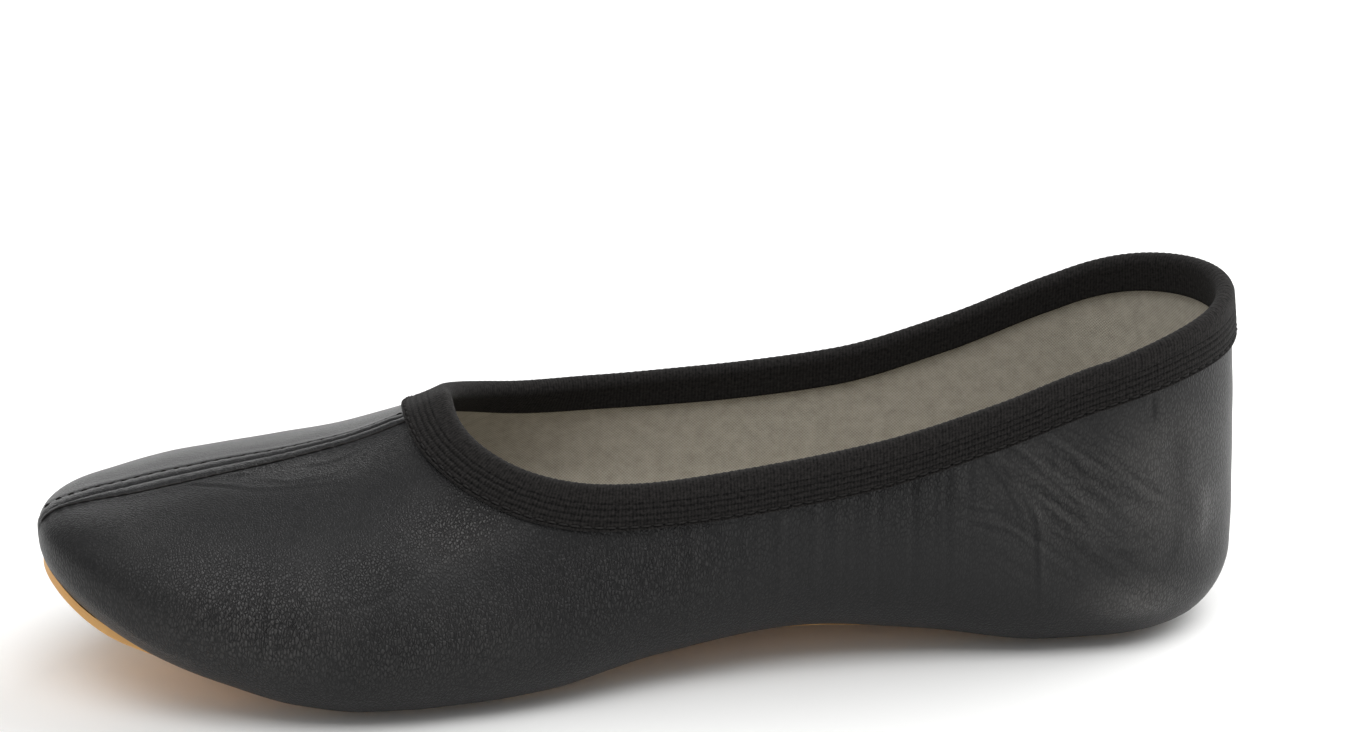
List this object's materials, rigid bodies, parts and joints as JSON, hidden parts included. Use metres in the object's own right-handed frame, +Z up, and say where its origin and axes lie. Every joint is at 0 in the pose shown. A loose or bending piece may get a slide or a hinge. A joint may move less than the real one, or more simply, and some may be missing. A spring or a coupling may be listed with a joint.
{
  "type": "gymnastics shoe",
  "caption": "Slip-on gymnastics shoe for a right foot: thin black leather upper with a raised centre seam, elastic collar and light gum sole.",
  "frame": {"origin": "bottom centre of the shoe's box, on the floor it stands on", "axes": "+X from toe to heel, -Y to the inner side of the foot, +Z up"},
  "size_m": [0.2503, 0.089, 0.0733],
  "materials": {
    "leather": "fine grain, semi-matte black",
    "elastic": "matt ribbed black elastic",
    "gum": "matt natural gum",
    "cover": "plain unbleached cotton"
  },
  "bodies": {
    "root": {"upper": "leather", "collar_elastic": "elastic", "outsole": "gum", "insole": "cover"}
  },
  "joints": []
}
